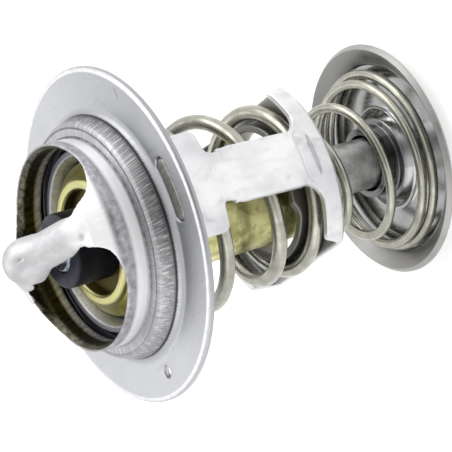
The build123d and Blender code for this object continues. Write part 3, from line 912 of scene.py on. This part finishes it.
def coil_spring(name, tree, values, finish, node):
    """Runs a spring's tree and keeps its result as a plain mesh."""
    holder = bpy.data.objects.new(name + "_maker", bpy.data.meshes.new(name + "_maker"))
    bpy.context.scene.collection.objects.link(holder)
    modifier = holder.modifiers.new("coil", "NODES")
    modifier.node_group = tree
    for socket in tree.interface.items_tree:
        if socket.item_type == "SOCKET" and socket.in_out == "INPUT" and socket.name in values:
            modifier[socket.identifier] = values[socket.name]
    graph = bpy.context.evaluated_depsgraph_get()
    mesh = bpy.data.meshes.new_from_object(holder.evaluated_get(graph), depsgraph=graph)
    mesh.name = name
    holder.modifiers.remove(modifier)
    bpy.data.objects.remove(holder)
    mesh.materials.clear()
    mesh.materials.append(finish)
    mesh.shade_smooth()
    piece = bpy.data.objects.new(name, mesh)
    bpy.context.scene.collection.objects.link(piece)
    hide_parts(node)
    return piece


wire = Finish("spring_wire")
haze = wire.noise(420, detail=4)
drag = wire.noise(2600, detail=3)
dull = wire.range(haze, 0.35, 0.7)
tone = wire.mix(dull, (0.45, 0.445, 0.385), (0.33, 0.325, 0.275))
wire.link(tone, "Base Color")
wire.link(wire.range(haze, 0.3, 0.7, 0.2, 0.34), "Roughness")
wire.link(wire.relief(drag, 0.00002, 0.25), "Normal")
main_turns = 4.05
main_spring = coil_spring(
    "main_spring_wire",
    coil_tree(
        "main_spring_coil",
        [(0, 0), (0.5 / main_turns, 0), (3.5 / main_turns, 1), (1, 1)],
        [
            (turn / main_turns, share)
            for turn, share in (
                (0, 0),
                (0.45, 0),
                (0.75, 0.03),
                (1.0, 0.112),
                (1.25, 0.209),
                (2.25, 0.593),
                (3.0, 0.884),
                (3.25, 0.966),
                (3.5, 1),
                (main_turns, 1),
            )
        ],
    ),
    {
        "Wire Diameter": 0.0024,
        "Turns": main_turns,
        "Start Angle": pi,
        "Front Radius": 0.0157,
        "Rear Radius": 0.0131,
        "Front Height": -0.00045,
        "Rear Height": -0.02845,
        "Points": 420,
        "Finish": wire.material,
    },
    wire.material,
    "main_spring",
)
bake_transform(main_spring)


# Frame. One steel stamping: two legs whose tabs are clinched in the flange, a rear plate
# that takes the main spring's thrust, and a collar drawn out of the plate for the capsule.
frame_thick = 1.2
frame_rear = -31.0
leg_front, leg_rear = (21.2, -9.8), (18.0, frame_rear)
leg_lean = (leg_front[0] - leg_rear[0]) / (leg_front[1] - leg_rear[1])
frame_leg = rounded_path(
    offset_path(
        [(22.1, 3.0), (22.1, -7.2), leg_front, leg_rear, (10.6, frame_rear)], -frame_thick / 2
    ),
    (2.4, 3.6, 1.2),
)
frame_collar = rounded_path(
    offset_path([(12.8, frame_rear), (10.1, frame_rear), (10.1, -24.0)], -frame_thick / 2),
    (0.7,),
)
blank = rounded_path(
    [
        (8.3, 3),
        (8.3, -7.2),
        (3.9, -7.2),
        (3.9, -9.8),
        (4.4, -9.81),
        (4.4, -26.7),
        (12.4, -26.7),
        (13.5, frame_rear),
        (13.5, frame_rear - 2),
    ],
    (1.04, 1.04, 0.35, 0.1, 3.0, 0.8, 0),
)


def frame_solid(x, y, z):
    r = np.hypot(x, y)
    whole = path_distance(r, z, frame_leg)
    whole = np.minimum(whole, path_distance(r, z, frame_collar)) - frame_thick / 2
    whole = both(whole, 9.9 - r, 0.2)
    near = whole < 3.0
    r, away, side, z = r[near], abs(x[near]), abs(y[near]), z[near]
    piece = whole[near]
    piece = both(piece, np.where(r < 13, z + 25.5, -9), 0.4)
    cut = path_distance(side, z, blank)
    width = np.interp(-z, -blank[:, 1], blank[:, 0])
    cut = np.where(side < width, -cut, cut)
    piece = both(piece, cut, 0.3)
    piece = both(piece, z + 0.02, 0.1)
    # edges of each leg turned inward
    face = leg_front[0] - leg_lean * (leg_front[1] - z)
    lip = both(abs(side - 3.8) - 0.6, abs(away - face + 1.35) - 1.15, 0.5)
    lip = both(lip, abs(z + 17.6) - 6.3, 0.9)
    piece = either(piece, lip, 0.4)
    # pocket pressed into each leg
    pocket = np.hypot(np.maximum(side - 2.8, 0), z + 26.1) - 1.4
    pocket = both(pocket, 18.06 - away, 0.3)
    piece = both(piece, -np.where(z < -20, pocket, 9), 0.3)
    # tabs clinched in the flange
    tab = slot_distance(x[near], y[near]) - 1.15
    tab = both(tab, abs(z - 0.3) - 0.55, 0.35)
    whole[near] = np.minimum(piece, tab)
    return whole


pressed = Finish("pressed_steel", metallic=0.9)
radius, height = pressed.radius_and_height()
cloud = pressed.noise(120, detail=4)
streaks = pressed.noise(300, pressed.scaled(2, 2, 0.35), detail=4)
scuffs = pressed.noise(330, pressed.scaled(3, 1, 0.7), detail=5, distortion=0.7)
scuffs = pressed.range(scuffs, 0.6, 0.72)
tone = pressed.mix(pressed.range(cloud, 0.38, 0.66), (0.84, 0.84, 0.845), (0.64, 0.645, 0.66))
tone = pressed.mix(pressed.range(streaks, 0.5, 0.72, 0, 0.4), tone, (0.56, 0.56, 0.57))
tone = pressed.mix(pressed.times(scuffs, 0.35), tone, (0.36, 0.35, 0.36))
# the clinched tabs are rubbed grey, and the plate's inner side gets a painted dark reflection
tab = pressed.range(height, -0.0001, 0.0001)
blot = pressed.mix(pressed.noise(1500, detail=4), (0.1, 0.095, 0.085), (0.5, 0.49, 0.46))
tone = pressed.mix(tab, tone, blot)
plate_dark_reflection = pressed.times(
    pressed.range(radius, 0.0172, 0.0166),
    pressed.range(height, -0.0305, -0.0296),
)
tone = pressed.mix(plate_dark_reflection, tone, (0.2, 0.195, 0.18))
pressed.link(tone, "Base Color")
pressed.link(pressed.range(cloud, 0.3, 0.7, 0.32, 0.48), "Roughness")
grain = pressed.relief(pressed.noise(4600, detail=2), 0.00002, 0.35)
grain = pressed.relief(cloud, 0.0002, 0.3, grain)
pressed.link(pressed.relief(scuffs, 0.00003, 0.3, grain), "Normal")
frame_skin = skin(frame_solid, np.arange(9.6, 23.8, 0.25), np.arange(-31.5, 1.4, 0.25), 480)
fit("frame_stamping", *frame_skin, pressed.material, "frame", "casing", "frame_steel")


# Bypass disc. A dished steel stamping whose hub, drawn forward, slides on the stem. When
# the capsule moves rearward the disc closes the bypass behind it.
disc = Finish("disc_steel")
radius = disc.radius_and_height()[0]
polish = disc.noise(1.0, disc.polar(3800, 5, 3800), detail=3)
smear = disc.noise(300, detail=4)
rim = disc.range(radius, 0.0156, 0.0162)
tone = disc.mix(disc.range(smear, 0.35, 0.7), (0.47, 0.475, 0.48), (0.36, 0.36, 0.365))
tone = disc.mix(rim, tone, disc.mix(smear, (0.3, 0.295, 0.285), (0.46, 0.455, 0.445)))
# painted shade, dark grey, on the hub's neck round the stem
neck = disc.range(radius, 0.0074, 0.0069)
tone = disc.mix(neck, tone, (0.2, 0.2, 0.205))
disc.link(tone, "Base Color")
inside = disc.range(polish, 0.3, 0.7, 0.1, 0.2)
outside = disc.range(smear, 0.3, 0.7, 0.36, 0.5)
wear = disc.node("ShaderNodeMix", {0: rim, 2: inside, 3: outside}).outputs[0]
disc.link(wear, "Roughness")
grain = disc.relief(polish, 0.00002, 0.25)
disc.link(disc.relief(disc.noise(3600), 0.00002, 0.15, grain), "Normal")
section, rounds = sheet_section(
    [
        (18.6, -50.0),
        (15.6, -52.3),
        (8.2, -52.3),
        (6.87, -50.4),
        (5.8, -50.4),
        (5.8, -47.6),
    ],
    (0.6, 1.2, 0.5, 0.3),
    1.1,
    1,
)
turned(
    "bypass_disc_sheet",
    section,
    rounds,
    disc.material,
    "bypass_disc",
    "bypass",
    "disc_steel",
    steps=200,
)


# Bypass spring. Thin wire coiled right-hand into a steep cone, small end on the capsule
# and wide end on the disc, which it pushes rearward against the snap ring.
bypass_turns = 4.75
bypass_spring = coil_spring(
    "bypass_spring_wire",
    coil_tree(
        "bypass_spring_coil",
        [
            (turn / bypass_turns, share)
            for turn, share in (
                (0, 0),
                (0.6, 0),
                (1.25, 0.18),
                (2.25, 0.54),
                (3.25, 0.89),
                (3.75, 0.95),
                (4.25, 1),
                (bypass_turns, 1),
            )
        ],
        [
            (turn / bypass_turns, share)
            for turn, share in (
                (0, 0),
                (0.35, 0),
                (0.75, 0.05),
                (1.25, 0.215),
                (1.75, 0.43),
                (2.25, 0.63),
                (2.75, 0.785),
                (3.25, 0.87),
                (3.75, 0.908),
                (4.25, 0.96),
                (bypass_turns, 1),
            )
        ],
    ),
    {
        "Wire Diameter": 0.00155,
        "Turns": bypass_turns,
        "Start Angle": 0.0,
        "Front Radius": 0.008,
        "Rear Radius": 0.0147,
        "Front Height": -0.035125,
        "Rear Height": -0.051375,
        "Points": 460,
        "Finish": wire.material,
    },
    wire.material,
    "bypass_spring",
)
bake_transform(bypass_spring)


# Snap ring. An open ring of hardened spring steel, sprung into the stem's groove, that
# keeps the disc on the stem.
snap = Finish("snap_steel", roughness=0.42)
scale = snap.noise(1300, detail=4)
snap.link(snap.mix(scale, (0.06, 0.06, 0.07), (0.2, 0.2, 0.21)), "Base Color")
snap.link(snap.relief(scale, 0.00002, 0.3), "Normal")
turned(
    "snap_ring_wire",
    [(3.6, -52.5), (6.0, -52.5), (6.0, -51.5), (3.6, -51.5)],
    (0.15, 0.2, 0.2, 0.15),
    snap.material,
    "snap_ring",
    "element",
    "stem_steel",
    steps=72,
    opening=(radians(-20), radians(270)),
)


# Studio. A plain pale floor under the disc, a white backdrop, soft lamps and the camera.
floor_half, floor_height = 3, -0.0534
floor_mesh = bpy.data.meshes.new("floor")
corners = [(-1, -1), (1, -1), (1, 1), (-1, 1)]
floor_mesh.from_pydata(
    [(x * floor_half, y * floor_half, floor_height) for x, y in corners], [], [(0, 1, 2, 3)]
)
floor = bpy.data.objects.new("floor", floor_mesh)
bpy.context.scene.collection.objects.link(floor)
pale = Finish("floor_pale", metallic=0.0, roughness=0.9)
pale.set("Base Color", (0.8, 0.8, 0.8, 1))
rays = pale.node("ShaderNodeLightPath").outputs
seen = pale.math("MAXIMUM", rays["Is Camera Ray"], rays["Is Glossy Ray"])
seen = pale.math("MAXIMUM", seen, rays["Is Transmission Ray"])
pale.set("Emission Color", (1, 1, 1, 1))
pale.link(pale.times(seen, 0.6), "Emission Strength")
floor_mesh.materials.append(pale.material)

world = bpy.data.worlds.new("studio")
bpy.context.scene.world = world
world.use_nodes = True
sky = world.node_tree


def sky_math(operation, a, b):
    return grow(sky, "ShaderNodeMath", {0: a, 1: b}, operation=operation).outputs[0]


rays = grow(sky, "ShaderNodeLightPath").outputs
seen = sky_math("MAXIMUM", rays["Is Camera Ray"], rays["Is Glossy Ray"])
seen = sky_math("MAXIMUM", seen, rays["Is Transmission Ray"])
level = grow(sky, "ShaderNodeMapRange", {0: seen, 3: 0.5, 4: 1.0}).outputs[0]
# the room behind the photographer is dark, and metal shows it
facing = {0: grow(sky, "ShaderNodeTexCoord").outputs["Generated"], 1: (0.975, -0.02, 0.22)}
facing = grow(sky, "ShaderNodeVectorMath", facing, operation="DOT_PRODUCT").outputs["Value"]
room = {0: facing, 1: 0.78, 2: 0.97, 3: 1.0, 4: 0.12}
room = grow(sky, "ShaderNodeMapRange", room, interpolation_type="SMOOTHSTEP").outputs[0]
clear = sky_math("MAXIMUM", room, rays["Is Camera Ray"])
backdrop = sky.nodes["Background"].inputs
backdrop["Color"].default_value = (1, 1, 1, 1)
sky.links.new(sky_math("MULTIPLY", level, clear), backdrop["Strength"])


def lamp(name, place, size, power):
    """Soft square lamp that points at the middle of the object."""
    light = bpy.data.lights.new(name, "AREA")
    light.size = size
    light.energy = power
    made = bpy.data.objects.new(name, light)
    bpy.context.scene.collection.objects.link(made)
    back = np.array(place) - (0, 0, -0.02)
    back = back / np.linalg.norm(back)
    right = np.cross((0, 0, 1), back)
    right = right / np.linalg.norm(right)
    up = np.cross(back, right)
    rows = [(*row, where) for row, where in zip(np.stack([right, up, back], 1), place)]
    made.matrix_world = Matrix([*rows, (0, 0, 0, 1)])


lamp("key", (0.05, 0.55, 0.35), 0.5, 1.6)
lamp("fill", (0.1, -0.6, 0.3), 0.6, 0.8)
lamp("top", (-0.35, 0.1, 0.55), 0.5, 0.8)

view = bpy.data.cameras.new("view")
view.lens = 238.9
view.sensor_width = 36
view.clip_start = 0.01
camera = bpy.data.objects.new("view", view)
bpy.context.scene.collection.objects.link(camera)
camera.matrix_world = Matrix(
    (
        (0.4199, 0.3237, 0.8479, 0.4038),
        (-0.3698, 0.9142, -0.1659, -0.0825),
        (-0.8288, -0.2439, 0.5036, 0.2212),
        (0, 0, 0, 1),
    )
)
bpy.context.scene.camera = camera
bpy.context.scene.view_settings.view_transform = "Standard"
